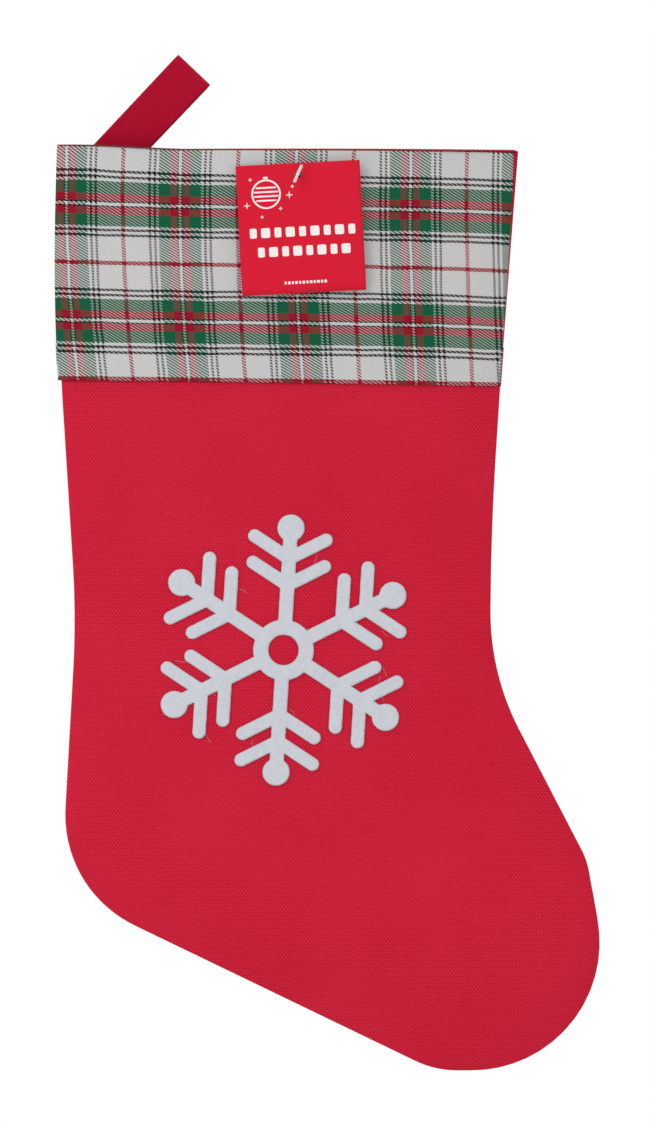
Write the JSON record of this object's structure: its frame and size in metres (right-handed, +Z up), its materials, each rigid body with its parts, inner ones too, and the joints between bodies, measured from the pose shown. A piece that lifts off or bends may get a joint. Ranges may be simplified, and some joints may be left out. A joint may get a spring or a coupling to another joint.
{
  "type": "hanging christmas stocking",
  "caption": "Lined canvas stocking with a folded plaid cuff, a felt snowflake applique, a ribbon hanging loop and a card swing tag on a plastic tag pin.",
  "frame": {"origin": "centre of the hanging loop's eye, where a hook or peg holds the stocking", "axes": "+Z up from the toe to the loop, +X towards the toe, -Y out of the front with the snowflake"},
  "size_m": [0.2554, 0.039, 0.4765],
  "materials": {
    "red_canvas": "matte",
    "red_lining": "matte",
    "red_cuff_cloth": "matte",
    "plaid_twill": "matte",
    "grey_felt": "matte",
    "ribbon": "satin",
    "red_thread": "matte",
    "clear_glue": "gloss",
    "clear_pin": "satin",
    "printed_card": "satin"
  },
  "bodies": {
    "hanging_loop": {"hanging_loop": "ribbon"},
    "stocking": {"front_panel": "red_canvas", "back_panel": "red_canvas", "front_lining": "red_lining", "back_lining": "red_lining", "seam_allowance": "red_canvas", "side_seam_thread": "red_thread", "lining_seam_thread": "red_thread", "cuff_front": "plaid_twill", "cuff_back": "red_cuff_cloth", "cuff_seam_thread": "red_thread", "rim_thread": "red_thread", "snowflake": "grey_felt", "snowflake_glue": "clear_glue", "loop_tail": "ribbon", "loop_bartack": "red_thread"},
    "tag_pin": {"tag_pin": "clear_pin"},
    "hang_tag": {"hang_tag": "printed_card"}
  },
  "joints": [
    {"name": "stocking_swing", "type": "hinge", "parent": "hanging_loop", "child": "stocking", "pos_m": [-0.0298, 0, -0.0315], "axis": [1, 0, 0], "range_deg": [-80, 80]},
    {"name": "tag_swing", "type": "hinge", "parent": "stocking", "child": "tag_pin", "pos_m": [0.0518, -0.01847, -0.0466], "axis": [0, -1, 0], "range_deg": [-65, 180]},
    {"name": "tag_lift", "type": "hinge", "parent": "tag_pin", "child": "hang_tag", "pos_m": [0.0518, -0.01847, -0.0466], "axis": [-1, 0, 0], "range_deg": [0, 20]}
  ]
}
